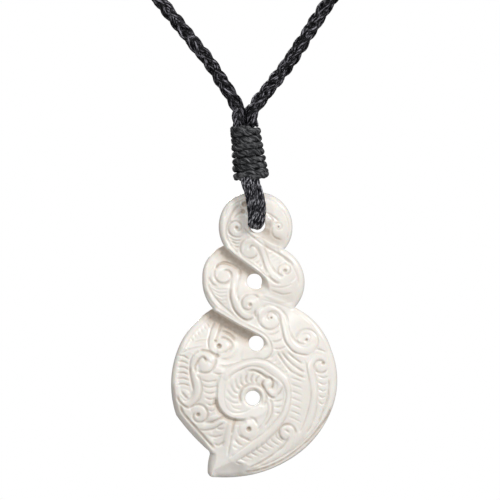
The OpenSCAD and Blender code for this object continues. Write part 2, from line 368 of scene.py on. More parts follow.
# Steps down from an edge: depth, width of the sloping wall, how far away the lower strand is level again, how
# dark the painted shade at the foot is, where the upper strand shades the lower, how much of a rim the upper
# side keeps, the side of the run that is lower (1 left, -1 right), and points along the edge. Those without
# painted shade are bevels that go on to the outline.
STEPS = {
    "under the first crossing": (2.1, 1.1, 10, 0.85, 1, -1, [(-9.5, -1.6), (-8.3, -3.4), (-7.2, -5.1),
        (-5.1, -7), (-3.2, -8.4), (0, -10.7), (1.6, -12), (2.5, -13.3), (2.9, -14.8), (3, -16.2)]),
    "under the second crossing": (2.5, 1.1, 11, 1.1, 1, -1, [(-12.2, -16.2), (-10.9, -18.2), (-10.1, -19.4),
        (-8.2, -20.6), (-4.1, -23), (-1.5, -24.3), (1.1, -25.8), (2.5, -27.5), (2.6, -28.8)]),
    "ring behind the first band": (0.32, 0.8, 6, 0.6, 0.2, 1, [(-2.2, -1.2), (-0.8, -2.5), (1, -3.4),
        (2.4, -4.3), (4, -5.1), (6.1, -5.8), (7.4, -6.3)]),
    "lobe behind the second band": (0.22, 0.8, 6, 0.3, 0.2, 1, [(-2.3, -15), (-1.2, -15.6), (0.2, -16.1),
        (2.5, -16.7), (5.5, -17.7), (8.5, -19.2), (9.6, -19.9)]),
    "left of the hook": (0.32, 0.45, 1.5, 0.15, 1, -1, [(-7.9, -34.6), (-8.7, -36.6), (-9, -38.8),
        (-8.9, -40.6), (-8.4, -42.2)]),
    "under the hook": (0.95, 0.45, 1.6, 0.8, 1, -1, [(-9, -39.6), (-8.7, -41.2), (-8, -42.6), (-6.9, -43.7),
        (-5.4, -44.4), (-3.8, -44.6), (-2.4, -44.4)]),
    "bevel along the lower left": (0.7, 1.3, 90, 0, 1, -1, [(-18.9, -36), (-18.6, -38.6), (-18, -41.2),
        (-17, -43.2), (-15.6, -44.9), (-13.7, -47), (-11.7, -49.3), (-9.9, -51.3)]),
    "bevel under the tip": (1.7, 3, 90, 0, 0, -1, [(-10.9, -56.9), (-9.4, -56.1), (-7.8, -55.3),
        (-6.4, -54.7), (-5, -54.5), (-3.4, -54.7), (-1.6, -55.4), (0.4, -56.2), (2.4, -56.9)]),
    "bevel left of the tip": (0.9, 1.6, 90, 0, 0, -1, [(-9.2, -52.2), (-9.4, -54.1), (-10, -56.2),
        (-11.4, -60.4)]),
}

# Scrolls: middle x, z, first and last radius, start angle, sweep (+ is anticlockwise), how late the radius
# changes (1 is evenly), depth, radius of the pit in the middle
SCROLLS = [
    (-4.7, -1, 2.25, 0.55, 303, -400, 1.3, 0.4, 0.38),
    (4.9, -0.8, 1.05, 0.3, 150, -340, 1.2, 0.28, 0.2),
    (-1.5, -5.8, 2.5, 2, 92, 235, 2.2, 0.38, 0),
    (6.4, -10.8, 1.75, 0.35, 252, -390, 2, 0.34, 0.38),
    (-7.55, -11.6, 2.25, 0.62, 150, 308, 2.4, 0.42, 0),
    (-1.6, -18.6, 2.5, 0.5, 40, 265, 2, 0.34, 0.36),
    (3.25, -21.6, 3.3, 0.5, 160, 440, 1, 0.34, 0.26),
    (11.3, -26.6, 2.4, 3.1, 180, -232, 4, 0.3, 0.28),
    (11.3, -26.4, 1.35, 0.45, 150, -330, 1, 0.2, 0),
    (14.5, -32.5, 1.7, 0.85, 331, -310, 1.8, 0.4, 0),
    (6.9, -47.8, 1.9, 1.9, 250, -262, 1, 0.5, 0),
    (-13.5, -43.7, 2.35, 0.75, 140, -350, 2.2, 0.46, 0.42),
]

# Pits: x, z, radius, depth. The last two are wide, shallow hollows right of the suspension hole, whose brown
# paints shade on the ring there
PITS = [
    (-8.7, -28, 0.45, 0.8), (-1.9, -47, 0.45, 0.8), (-2.9, 4.4, 0.5, 0.7), (-3.2, 2.8, 0.45, 0.65),
    (-9.5, -26.8, 0.32, 0.4), (-9.2, -30.2, 0.45, 0.5), (15.1, -31.9, 0.36, 0.4), (2.7, -0.3, 0.85, 0.24),
    (2.2, -1.8, 0.8, 0.2),
]

# Rows of bars: how many, depth, sag, then x, z of the two ends of the first bar and of the last
BARS = [
    (4, 0.26, 0.1, (-1.2, -8.6), (0.3, -7.6), (0.8, -10.8), (1.8, -10.3)),
    (4, 0.2, 0.05, (2.7, -7.3), (3.7, -6.4), (4.5, -9.4), (5.9, -8.6)),
    (6, 0.13, 0.7, (-11.4, -13.6), (-6.8, -15), (-8.6, -18.6), (-6.4, -18.9)),
    (3, 0.3, 0.3, (2.8, -25.4), (5.1, -24.6), (3.7, -28.6), (6.6, -28.1)),
    (5, 0.24, 0.05, (2.9, -30.9), (3.8, -30), (6.2, -34.3), (6.9, -33.7)),
    (7, 0.25, -0.1, (7.8, -35.3), (10.3, -36.2), (7.3, -44.2), (9.9, -45.4)),
    (5, 0.32, 0.5, (13.8, -34.7), (16.4, -34.9), (14, -40.5), (15.4, -41.1)),
    (9, 0.34, -0.85, (4.4, -47.6), (6.2, -50.1), (-4.3, -54.1), (-3.6, -55)),
    (6, 0.36, 0.4, (-12.9, -35.7), (-9.2, -35.8), (-11.2, -42.6), (-9.6, -42.4)),
    (6, 0.5, -0.3, (-18, -30.2), (-15.7, -31), (-18.3, -36.9), (-15.5, -37.1)),
    (6, 0.28, 0, (-15.2, -26), (-14.5, -27.2), (-11.6, -22.7), (-10.8, -23.9)),
    (3, 0.32, 0.1, (4, -40.7), (5.9, -40.2), (4.1, -43.2), (5.5, -43.2)),
]

# The spiral's eye: a ring (radius, angles, depth) and gills (how many, depth of the first and last, angle and
# radius of the outer and inner end of the first and last)
EYE = (-0.95, -39.7)
RING_R, RING_SPAN, RING_DEPTH = 3.05, (205, -35), 0.46
GILLS = (8, 0.20, 0.50, (181, 6.3), (203, 3.2), (73, 5.2), (78, 3.3))

# Single lines: depth, then the points that the line goes through
LINES = [
    # ring and first band
    (0.42, [(-3.9, 4.2), (-5, 3.5), (-5.9, 2.1), (-6.6, 0.6), (-7.1, -1.5), (-6.9, -3.3), (-5.9, -5.1),
        (-4.3, -6.7)]),
    (0.26, [(-3, -7.8), (-1.1, -9.1), (0.7, -10.6), (2.3, -12.2)]),
    (0.16, [(-7.4, 1.1), (-7.1, 3.1), (-5.9, 4.7), (-4.2, 5.9)]),
    (0.44, [(-5.5, 1), (-4.8, 1.9), (-3.9, 2.5), (-2.6, 3)]),
    (0.34, [(-4.2, 4.6), (-3.5, 3.5), (-2.5, 3.4)]),
    (0.4, [(-6.5, -3), (-5.2, -3.9), (-3.6, -3.8)]),
    (0.4, [(-6.1, -3.9), (-4.8, -4.6), (-3.8, -4.4)]),
    (0.4, [(-5.5, -5), (-4.6, -5.4), (-4, -5.2)]),
    (0.34, [(-5, -5.8), (-4.3, -6.1)]),
    (0.4, [(-3, -1), (-2.1, -2.1), (-0.7, -3.3), (1, -4.6), (2.8, -5.8), (4.6, -6.8), (6.2, -7.9),
        (7.6, -9.1)]),
    (0.2, [(6.9, -8.4), (7.8, -9.3), (8.6, -10.7), (9.3, -12.3), (9.4, -14.2)]),
    (0.46, [(-1.9, -5.9), (-1.4, -5.2), (-0.7, -5.2), (0.1, -5.9), (0.8, -7.4), (1.6, -9.8), (2.2, -11.6)]),
    (0.4, [(1.6, -5.3), (2.3, -7.1), (2.9, -8.8), (3.7, -10.3), (4.3, -11.1), (5.3, -11.8), (5.9, -12.1)]),
    (0.52, [(2.3, -11.8), (3.2, -12.6), (4.2, -13.4), (5.2, -13.7)]),
    (0.38, [(2.1, 2.5), (2.9, 2.1), (3.9, 1.4), (5.1, 0.4)]),
    (0.26, [(2.4, 2), (3.2, 1.4), (3.6, 0.8), (3.2, -0.2), (2.9, -1.2), (2.2, -2.1), (1.4, -2.5)]),
    (0.3, [(3.6, -0.6), (3.4, -2), (4.1, -3.2), (5.5, -3.7)]),
    (0.26, [(5.7, 3.3), (6.6, 1.8), (7.2, 0.1), (7.3, -1.5), (6.9, -3.3)]),
    (0.2, [(3.2, -14.3), (4.7, -14.6), (6.3, -14.5), (7.9, -13.9)]),
    (0.2, [(3.2, -15.3), (4.6, -15.8), (5.9, -16.2), (7.9, -15.9)]),
    (0.16, [(7.2, -13.6), (8.4, -12.8), (9, -11.8)]),
    # second band
    (0.62, [(-9.5, -10.3), (-8.8, -9.4), (-7.3, -9), (-5.3, -9.7), (-4.2, -10.5), (-3.8, -11.6)]),
    (0.3, [(-3.7, -11.3), (-4, -12.9), (-4.4, -14.5), (-4.6, -16.1), (-4.2, -17.6)]),
    (0.16, [(-5.8, -12.2), (-6, -13.6), (-6.1, -14.9)]),
    (0.5, [(-6.1, -14.9), (-6.2, -16.6), (-5.9, -18.1), (-5.3, -19.6), (-4.2, -21), (-3.1, -21.8),
        (-2.1, -22.1), (-1, -21.6)]),
    (0.46, [(-11.1, -12.3), (-10.4, -13.6), (-9.3, -14.4)]),
    (0.36, [(-11.2, -13.6), (-10.7, -15.2), (-9.6, -16.9), (-8.2, -18.5), (-6.5, -20), (-4.5, -21.8),
        (-2.1, -23.2), (0.4, -24.5), (2.1, -25.7), (3.1, -27.2), (3.4, -28.9), (2.7, -30.5), (1.1, -31.3)]),
    (0.2, [(-11.9, -15.4), (-10.6, -17.7), (-9.2, -19.2), (-7.4, -20.4), (-5.4, -21.6), (-3.3, -22.9),
        (-1, -24), (0.9, -25.1)]),
    (0.46, [(-0.3, -19.7), (-0.6, -20.6), (-0.1, -21.6)]),
    (0.34, [(1.1, -19.2), (2.5, -18.6), (4.1, -18.9), (5.5, -19.8), (6.5, -21), (7.1, -22.7), (7.6, -24.6),
        (8.2, -26.1), (9.2, -27.1), (10.1, -27.5), (11, -27.6)]),
    (0.36, [(2.8, -20.7), (3.5, -20.4), (4.2, -20.8), (4.8, -21.6), (5.2, -22.6), (5.5, -23.9), (5.9, -25.7),
        (6.4, -27.1), (7.1, -28.1), (8, -29.1), (9.2, -29.7), (10.4, -30), (11.7, -30.2)]),
    # rims of the body
    (0.14, [(1.1, -17.4), (4.1, -18.2), (7.1, -19.3), (9.2, -20.4), (10.9, -21.6), (12.4, -23), (14.1, -25.7),
        (15.2, -27.4), (16, -29.4), (16.3, -31.2), (16.4, -34), (16.4, -36.9)]),
    (0.34, [(16.4, -35.6), (16.4, -37.6), (16.1, -39.9), (15.3, -42.2), (14, -45.4), (12.5, -47.8),
        (10.5, -49.9), (8.2, -51.7), (5.3, -53.5), (1.8, -55.2), (-1.8, -56.3)]),
    (0.56, [(16.9, -42.3), (15.9, -44.4), (14.4, -46.4), (12.6, -48.6), (10.7, -50.4), (7, -53.3),
        (3.3, -55.3), (0.4, -56.3), (-2.7, -56.9)]),
    (0.6, [(-17.6, -41.5), (-17, -43.2), (-15.6, -44.9), (-13.7, -47), (-11.7, -49.3), (-9.8, -51.5)]),
    (0.32, [(13.4, -28.6), (14.5, -28.9), (15.9, -29.5)]),
    (0.22, [(14, -26.2), (13.9, -27.8)]),
    (0.26, [(11, -31.4), (11.4, -33.5), (11.9, -35.8), (12.3, -38.3), (12.1, -40.6), (11.5, -43.1),
        (10.8, -45.4), (9.7, -47.7)]),
    (0.27, [(13.2, -33.7), (13.5, -35.6), (13.8, -37.8), (13.7, -40.4), (13.5, -42.9), (12.9, -45.1),
        (12.2, -46.7), (11.4, -47.9)]),
    (0.4, [(4.6, -29.5), (5.6, -31.1), (6.8, -32.8), (8.1, -34), (10.8, -35.3)]),
    (0.4, [(5.6, -29.4), (6.9, -31.1), (8.4, -32.5), (10.8, -34)]),
    (0.4, [(6.9, -29.3), (8.2, -30.6), (10.3, -32.1)]),
    # hook
    (0.26, [(-6.5, -35.6), (-5.5, -34.4), (-3.9, -33.5), (-2.3, -32.8), (-0.7, -32.7), (0.9, -33), (2.5, -34),
        (4.1, -35.1), (5.4, -36.1), (6.3, -37.6), (6.6, -39.4), (6.2, -41.3), (5.3, -43.6), (3.5, -45.7),
        (2, -47.4), (0.5, -48.6), (-1.4, -49.9), (-3.3, -51.4), (-6.1, -53.4)]),
    (0.3, [(-8.4, -32.5), (-7.3, -32.7), (-6.1, -32.4), (-4.2, -31.7), (-2.3, -31.1), (0, -30.9),
        (2.1, -31.4), (3.9, -32.5), (5.5, -33.7), (6.9, -35.3), (7.6, -37.2), (7.7, -39), (7.6, -41),
        (7.1, -43.1), (6, -45.3), (4.5, -47.4), (2.6, -49.3), (1.1, -50.7), (-0.5, -51.8), (-2.7, -53.1),
        (-4.6, -54.3)]),
    (0.28, [(-1.4, -37.8), (-0.1, -38.1), (0.8, -39), (1.1, -40.5), (0.9, -41.5)]),
    (0.14, [(-7.25, -36.7), (-7.6, -39.2), (-7, -42), (-5.2, -43.3), (-2.7, -43), (-1.1, -42)]),
    (0.12, [(-6.5, -39.7), (-5.5, -42), (-3.7, -42.5)]),
    (0.58, [(-1.9, -33.7), (-0.7, -33.6), (0.7, -34.2), (2.1, -35.2), (3.1, -35.4), (3.6, -36.5),
        (3.4, -37.5), (3.1, -37.8)]),
    (0.58, [(1.7, -35.7), (1.1, -36.6), (1.5, -37.6), (2.4, -39), (3.2, -39.7), (3.9, -39.9)]),
    (0.38, [(5.9, -37.1), (5.3, -38.5), (4.5, -39.3)]),
    (0.4, [(3, -40), (3.4, -41.7), (3.3, -43.5), (2.7, -44.9), (1.7, -46.3)]),
    (0.26, [(2.2, -40.5), (2.5, -42.2), (2.1, -44), (1.4, -45.4), (0.1, -47.1)]),
    # under the hook
    (0.42, [(-1.7, -44.35), (-0.9, -44.55), (-0.35, -45.1), (-0.1, -45.9)]),
    (0.46, [(-4.2, -48.3), (-3.3, -48.9), (-1.5, -49.7)]),
    (0.34, [(-5.1, -49.3), (-4.3, -50.3), (-3.2, -50.8)]),
    (0.26, [(-5.6, -50.8), (-4.6, -51.4)]),
    (0.2, [(-3.9, -45.9), (-4.5, -47.2), (-4.2, -48.3)]),
    (0.55, [(-5, -44.5), (-5.4, -45.9), (-5.8, -48.1)]),
    (0.3, [(-5.8, -48.1), (-6.3, -50.9), (-6.7, -53)]),
    (0.44, [(6.2, -47.2), (6.8, -47.4), (7.3, -47.9)]),
    (0.48, [(7.2, -48.9), (6.1, -50.7), (4.5, -52.1), (2.3, -53.7), (0.1, -55), (-1.8, -55.8)]),
    # left of the body
    (0.6, [(-13, -29), (-11.7, -29.1), (-10.5, -29.5), (-9.3, -30.2), (-8.4, -30.2)]),
    (0.6, [(-14, -33.9), (-14.2, -32.8), (-13.7, -31.8), (-13, -30.8), (-12.2, -30.6), (-11.6, -31.6)]),
    (0.42, [(-9.4, -30.6), (-9.5, -32), (-10.3, -33.5), (-11.4, -34.1), (-12.7, -34.1), (-13.6, -33.7)]),
    (0.28, [(-13, -29), (-14.2, -29.6), (-15.1, -30.9), (-15.4, -32.7)]),
    (0.46, [(-15.4, -32.7), (-15.3, -34.6), (-14.9, -36.5), (-14.6, -38)]),
    (0.4, [(-13.7, -34.6), (-13, -35.8), (-12.7, -37.3), (-12.8, -38.6), (-13.3, -40.2), (-14.2, -41.2),
        (-15.6, -42.1)]),
    (0.5, [(-17.3, -38.4), (-16.6, -39.4), (-15.9, -40)]),
    (0.22, [(-15.8, -39.4), (-15.2, -39.1), (-14.8, -38.3)]),
    (0.52, [(-18.3, -39.4), (-17.9, -40.5), (-17, -41.5), (-15.6, -42.3)]),
    (0.24, [(-14.6, -27.1), (-13, -26.7), (-11.3, -26.5)]),
    (0.26, [(-17.3, -29.7), (-16, -29), (-14.2, -28.4), (-12.2, -28)]),
    (0.34, [(-9.7, -22.6), (-10.5, -24), (-10.9, -25.5), (-11.2, -27), (-11.1, -28.7)]),
    (0.44, [(-8.2, -23), (-8.6, -24.3), (-9, -25.5), (-9.5, -26.8)]),
    (0.46, [(-8.6, -26.1), (-7.6, -26.2), (-6.5, -26.8), (-5.8, -27.8), (-6.3, -28.7), (-7.6, -29.6)]),
    (0.46, [(-8, -24.6), (-6.5, -25.3), (-5.5, -26.2), (-4.9, -26.9)]),
    (0.34, [(-7.6, -23.6), (-6.3, -24), (-5, -25.1)]),
    (0.26, [(-8, -31), (-6.5, -31), (-5.3, -30.2), (-4.5, -28.9)]),
    (0.36, [(-10.1, -34), (-9, -34.4), (-7.8, -34.3)]),
    (0.48, [(-11.8, -45.5), (-10.6, -45.5), (-9.2, -45), (-7.8, -44.3)]),
    (0.38, [(-14.1, -47), (-12.6, -47.3), (-11, -47.2), (-9.4, -46.7), (-7.6, -45.4)]),
    (0.46, [(-9.5, -46.6), (-8.5, -47), (-7.6, -46.8)]),
    (0.38, [(-11.2, -48.4), (-9.5, -48.8), (-8, -48.3)]),
    (0.4, [(-9.8, -50.3), (-8.9, -50.7), (-7.5, -49.9)]),
]

# How much lower the ground between rims and ornament lies, and the width of the rim and of its slope
GROUND, RIM, RIM_SLOPE = 0.18, 1.0, 0.6

# Rounded ridges on the ground: half width, height over the plain face, and points along the middle
RIDGES = [
    # scroll and stem of the second band
    (0.95, 0, [(-9.9, -12.2), (-9.5, -10.8), (-8.2, -9.9), (-6.4, -10.1), (-5.3, -11), (-4.9, -12.5),
        (-5.2, -14.4), (-5.4, -16.3), (-5, -18.1), (-4.1, -19.8), (-2.9, -20.9), (-1.5, -21)]),
    # scrolls and stem of the first band
    (0.8, 0, [(-3.6, -6.6), (-3.4, -5), (-2.2, -4), (-0.5, -3.9), (0.8, -4.8), (1.6, -6.3), (2.2, -8.4),
        (2.9, -10.3), (3.8, -11.7), (5.1, -12.5), (6.6, -12.8)]),
    # stem from the middle of the second band to the scroll on the right
    (0.95, 0.02, [(0.4, -21.6), (1, -20.4), (2.2, -19.5), (3.6, -19.4), (4.8, -20), (5.8, -21.3),
        (6.5, -23.1), (6.9, -25.2), (7.5, -26.9), (8.5, -28.2), (9.8, -28.9), (11.3, -29), (12.6, -28.3),
        (13.3, -27.2)]),
    # stem on the left of the body, with a scroll at each end
    (0.88, 0.06, [(-10.2, -31.9), (-10.9, -30.6), (-12.2, -29.9), (-13.5, -30.3), (-14.4, -31.5),
        (-14.5, -33.2), (-14.2, -34.9), (-13.8, -36.5), (-13.7, -38.2), (-14, -39.7), (-14.9, -40.9),
        (-16.3, -41.5), (-17.4, -40.8), (-17.9, -39.5)]),
    # stem on the right of the body
    (0.92, 0.04, [(16.1, -32.3), (15.7, -31.1), (14.5, -30.6), (13.1, -31.1), (12.3, -32.5), (12.3, -34.4),
        (12.7, -36.8), (13, -39.2), (12.7, -41.8), (12.1, -44.2), (11.2, -46.3), (9.9, -48.3), (8, -50.4)]),
    # hook round the eye and down to the tip
    (1.05, 0.08, [(-7.4, -36), (-6.8, -34.6), (-5.2, -33.1), (-3.2, -32.2), (-1.2, -31.8), (0.8, -32),
        (2.6, -32.8), (4.5, -34.1), (6, -35.4), (6.9, -37.3), (7.15, -39.2), (6.9, -41.2), (6.2, -43.4),
        (4.9, -45.6), (3.3, -47.5), (1.5, -49.1), (-0.4, -50.6), (-2.6, -52), (-4.8, -53.4), (-6.6, -54.5)]),
    (2.7, -0.14, [(-5.6, -35.6), (-6.3, -37.4), (-6.3, -39.4), (-5.5, -41), (-4, -42), (-2.2, -42.3),
        (-0.4, -42), (1, -41.2)]),
    (0.62, -0.05, [(1.9, -37.2), (2.2, -38.8), (2.7, -40.4), (2.95, -42), (2.7, -43.8), (2, -45.2),
        (0.9, -46.7)]),
    (0.85, 0.05, [(3.1, -36.5), (2.2, -36.8), (2.4, -38), (3.5, -38.9), (4.6, -38.5), (5.4, -37.2),
        (5.1, -36), (3.9, -34.9), (2.2, -33.9), (0.2, -33.1), (-2, -33.3)]),
    (0.7, 0, [(-3.2, -40.9), (-3.4, -39.3), (-2.8, -37.9), (-1.6, -37.2), (-0.2, -37.2), (1, -38.1),
        (1.5, -39.5), (1.1, -41)]),
    # left shoulder and the scrolls under the second crossing
    (0.85, 0.05, [(-8.9, -22.4), (-9.4, -23.9), (-10, -25.6), (-10.3, -27.4), (-9.9, -29)]),
    (0.55, 0.03, [(-7.6, -25.4), (-6.3, -25.9), (-5.2, -27.1), (-5.1, -28.4), (-6.2, -29.9), (-7.8, -30.5)]),
    (0.5, 0, [(-7.6, -24.1), (-6.1, -24.6), (-4.7, -25.9)]),
    # band along the lower right, and small ones by the tip
    (0.95, 0.02, [(8.4, -46.6), (8.6, -48.2), (7.6, -50), (6.2, -51.6), (4.4, -53), (2.4, -54.1),
        (0.8, -54.8)]),
    (0.6, 0.02, [(-10.8, -44.7), (-9.2, -44.2), (-7.6, -43.4)]),
    (0.7, 0.03, [(-13.6, -46.4), (-11.8, -46.6), (-9.8, -46), (-7.6, -44.9)]),
    (0.75, 0, [(-5.8, -45.2), (-6.6, -48), (-7.2, -50.8), (-7.6, -53.2)]),
    # ring
    (0.6, 0.02, [(-5.6, -0.2), (-5.5, 0.6), (-4.6, 1.7), (-3.3, 2.2), (-2.6, 1.9)]),
    (0.62, 0.02, [(2.5, 1.2), (3.7, 1.2), (4.8, 0.8), (5.4, -0.2)]),
]

# Strokes that stay plain, at the height of the rims: half width, width of their slope, points
PLAINS = [
    (2.9, 0.9, [(2.5, 4.6), (4.6, 2.6), (4.9, 0.2), (4.4, -2.2)]),
    (2.2, 0.9, [(3.6, -14.6), (6, -15.6), (7.8, -15.2)]),
    (1.7, 0.9, [(7.4, -13.6), (8.6, -11.6)]),
    (1.6, 0.9, [(-7.2, -36), (-6.6, -38.4), (-6.2, -40.6), (-4.6, -42.1), (-2.4, -42.6), (-0.4, -42.4),
        (1, -41.6)]),
    (2.2, 0.9, [(-9.8, -54.6), (-7.6, -53.4), (-8.6, -56.4), (-5, -56.6)]),
    (0.6, 1.6, [(-5, -55.6), (-2.4, -56.4), (0.6, -56.6)]),
    (1.5, 0.9, [(-1.6, -30.2), (0.4, -30), (2, -28.6)]),
    (0.8, 0.9, [(-17.2, -42.2), (-14.6, -45), (-11.6, -48.2)]),
    (0.3, 1.3, [(-5.9, -50.8), (-5.7, -52.6)]),
    (0.3, 1.3, [(-4.8, -54.3), (-3.6, -54.9)]),
    (0.3, 3, [(7.2, -19.4), (9.6, -20.9), (11.8, -22.6), (14.2, -26.2), (15.6, -29.6), (16.2, -33.6),
        (16, -37.5)]),
]

# Domed middles of the scrolls: x, z, radius, height over the plain face
DOMES = [
    (-4.7, -1, 2, -0.02), (4.9, -1.1, 1.5, -0.04), (-1.6, -6.2, 1.9, -0.04), (6.4, -10.8, 1.7, 0),
    (-7.5, -12.3, 1.8, -0.04), (-1.6, -18.6, 2.2, 0.02), (3, -22.3, 2.1, 0), (11.3, -26.4, 2, 0.02),
    (-8, -27.9, 1.7, 0.04), (-11.6, -32.6, 1.6, 0), (14.7, -32.6, 1.3, 0), (-16.6, -39.2, 1.3, 0.02),
    (-13.5, -43.7, 2.1, 0.04), (-1.9, -46.9, 2.1, 0.04), (6.9, -47.8, 1.7, 0.04),
]

# Steps of the twist on the back, where the other strand of each crossing is on top, in the same form as STEPS
BACK_STEPS = [
    (1.2, 1, 9, 0.6, 0, -1, [(-8.9, -6.6), (-7.2, -5.1), (-5.1, -3.6), (-2.4, -2.2), (0.4, -1.4)]),
    (1.2, 1, 9, 0.6, 0, 1, [(8.9, -4.4), (6.8, -6), (4.4, -8.1), (2.4, -10.2), (1.2, -12.4)]),
    (1.2, 1, 9, 0.6, 0, -1, [(-12.4, -19.8), (-9.6, -18.4), (-6, -16.8), (-2.6, -15.3), (0.2, -14.6)]),
    (1.2, 1, 9, 0.6, 0, 1, [(11.4, -18), (8.4, -20), (5.2, -22.4), (2.6, -24.6), (1.2, -26.6)]),
]

# Rounded edges: radius at the outline, and how far the outline and each hole fall on the front and the back
EDGE_R = 1.25
FRONT_DROPS = (1.05, 0.40, 0.40, 0.40, 0.55)
BACK_DROPS = (1.15, 0.75, 0.40, 0.40, 0.40)
EDGE_STEP, FRONT_STEP, BACK_STEP = 0.15, 0.165, 0.5  # between points of the mesh on edges, front and back
# How far inside every edge there are rows of points along it
FRONT_INSETS, BACK_INSETS = (0.03, 0.10, 0.22, 0.38, 0.55), (0.06, 0.25, 0.6)
EDGE_NEAR = 2.2  # a point's distance from an edge is measured exactly if it may be less
EDGE_FAR = 9.0  # stands for the distance of an edge's own points from all other edges
FACE_UNEVEN, FACE_BUMPS = 0.04, 9  # how uneven the face is, and the size of its bumps
DEEPER = 0.48  # share of their charted depth that lines are cut to
DOME, DOME_REACH = 1.20, 9  # how much lower the face is along its outline, and over what width
SPREAD = 0.28  # half width of the finest cut
LINE_WIDER, SCROLL_WIDER = 0.38, 0.42  # and what the half width gains per millimetre of depth
BAR_HALF, GILL_HALF, RING_HALF = 0.33, 0.44, 0.55
PIT_DEPTH, PIT_WIDER = 0.44, 1.7  # of scrolls' pits, and a pit's width on the face over that of its floor
CUT_FULL_STAIN_AND_SHADE = 0.34  # depth of a cut that holds the full brown, partly stain and partly painted shade
CUT_UNEVEN, CUT_BUMPS = 0.16, 2.2  # how uneven a cut's depth is, as a share of it, and over what length
STAMP_STEP = 0.08  # between the places on a cut or ridge where it is stamped on the field
STEP_STARTS, STEP_ENDS = 0.10, (0.5, 0.16)  # share of a step where it begins, and where it ends (with a rim)
FOOT_SHADE_REACH = 3.3  # how far from a step's foot the painted shade fades out
LEVELLED, LEVEL_CELLS = 2.0, 25  # where beside an edge a step's floor is evened out, and over what width

# ---------- pendant: relief of the front and back
CELL = 0.1
FIELD = (-20.5, 19.5, -60, 9)  # lowest and highest x, lowest and highest z
COLUMNS = round((FIELD[1] - FIELD[0]) / CELL) + 1
ROWS = round((FIELD[3] - FIELD[2]) / CELL) + 1
FIELD_X, FIELD_Z = np.meshgrid(FIELD[0] + CELL * np.arange(COLUMNS), FIELD[2] + CELL * np.arange(ROWS))


def wobble(x, z, size, seed):
    """Smooth hand-made unevenness of about -1 to 1, with bumps of a size."""
    chance = np.random.default_rng(seed)
    total = 0
    for turn in chance.uniform(0, 2 * math.pi, 7):
        wave, phase = 2 * math.pi / size * chance.uniform(0.6, 1.4), chance.uniform(0, 2 * math.pi)
        total = total + np.sin(wave * (x * math.cos(turn) + z * math.sin(turn)) + phase)
    return total / 3


def to_line(x, z, line):
    """Distance of points from a line, their side (1 left of it, -1 right), and place along it, 0 to 1."""
    a, run = line[:-1], np.diff(line, axis=0)
    length = np.maximum(np.linalg.norm(run, axis=1), 1e-9)
    before = np.concatenate([[0], np.cumsum(length)])
    best = np.full(len(x), 1e9)
    side, place = np.zeros(len(x)), np.zeros(len(x))
    for i in range(len(run)):
        dx, dz = x - a[i, 0], z - a[i, 1]
        t = np.clip((dx * run[i, 0] + dz * run[i, 1]) / length[i] ** 2, 0, 1)
        d = np.hypot(dx - t * run[i, 0], dz - t * run[i, 1])
        near = d < best
        best[near] = d[near]
        side[near] = np.sign(run[i, 0] * dz - run[i, 1] * dx)[near]
        place[near] = ((before[i] + t * length[i]) / before[-1])[near]
    return best, side, place


def blurred(field, cells):
    """Moving average of a field over a square of so many cells, twice."""
    share = np.ones(cells) / cells
    for axis in (0, 1, 0, 1):
        field = np.apply_along_axis(np.convolve, axis, field, share, "same")
    return field


def step_drop(depth, wall, level, shade_at_foot, rimmed, lower, line):
    """How far each cell of the field sinks beside an edge, how much painted shade it holds by the wall's
    foot, and where the rim is.
    """
    line = curve_through(line, 6)
    reach = min(level, 12)
    close = ((FIELD_X > line[:, 0].min() - reach) & (FIELD_X < line[:, 0].max() + reach)
             & (FIELD_Z > line[:, 1].min() - reach) & (FIELD_Z < line[:, 1].max() + reach))
    d, side, place = to_line(FIELD_X[close], FIELD_Z[close], line)
    if shade_at_foot:
        # a steep wall, and from its foot a slow rise to the level of the face
        sunk = (1 - np.exp(-1.2 * (d / wall) ** 1.3)) * np.clip((level - d) / (level - wall), 0, 1) ** 1.4
    else:
        sunk = np.minimum(1, d / wall)
    ends = smooth(place / STEP_STARTS) * smooth((1 - place) / STEP_ENDS[rimmed > 0])
    on = (side == lower) & (d < reach)
    drop, foot_shade, rim, far = np.zeros((4, *FIELD_X.shape))
    drop[close] = np.where(on, depth * sunk * ends, 0)
    if level > 3 * wall and shade_at_foot:
        far[close] = np.where(on, smooth((d - LEVELLED) / LEVELLED), 0)
        drop += (blurred(drop, LEVEL_CELLS) - drop) * far
    # painted shade: darkest by the foot of the wall, where the upper strand shades the lower, and fading away
    # from it
    fade = smooth(d / (0.55 * wall)) * (1 - smooth((d - 1.4 * wall) / min(FOOT_SHADE_REACH, level)))
    fade *= smooth((1 - place) / 0.3)
    foot_shade[close] = np.where(on, shade_at_foot * fade * ends, 0)
    rim[close] = np.where(side != lower, rimmed * (1 - smooth((d - 0.7) / RIM_SLOPE)), 0) * smooth(ends * 2)
    return drop, foot_shade, rim


def arc(middle, radius, angle):
    """Points round a middle."""
    turn = np.radians(angle)
    return np.column_stack([middle[0] + radius * np.cos(turn), middle[1] + radius * np.sin(turn)])


def scroll_line(x, z, first, last, start, sweep, late):
    """A spiral whose radius changes from first to last."""
    t = np.linspace(0, 1, 60)
    return arc((x, z), first + (last - first) * t ** late, start + sweep * t)


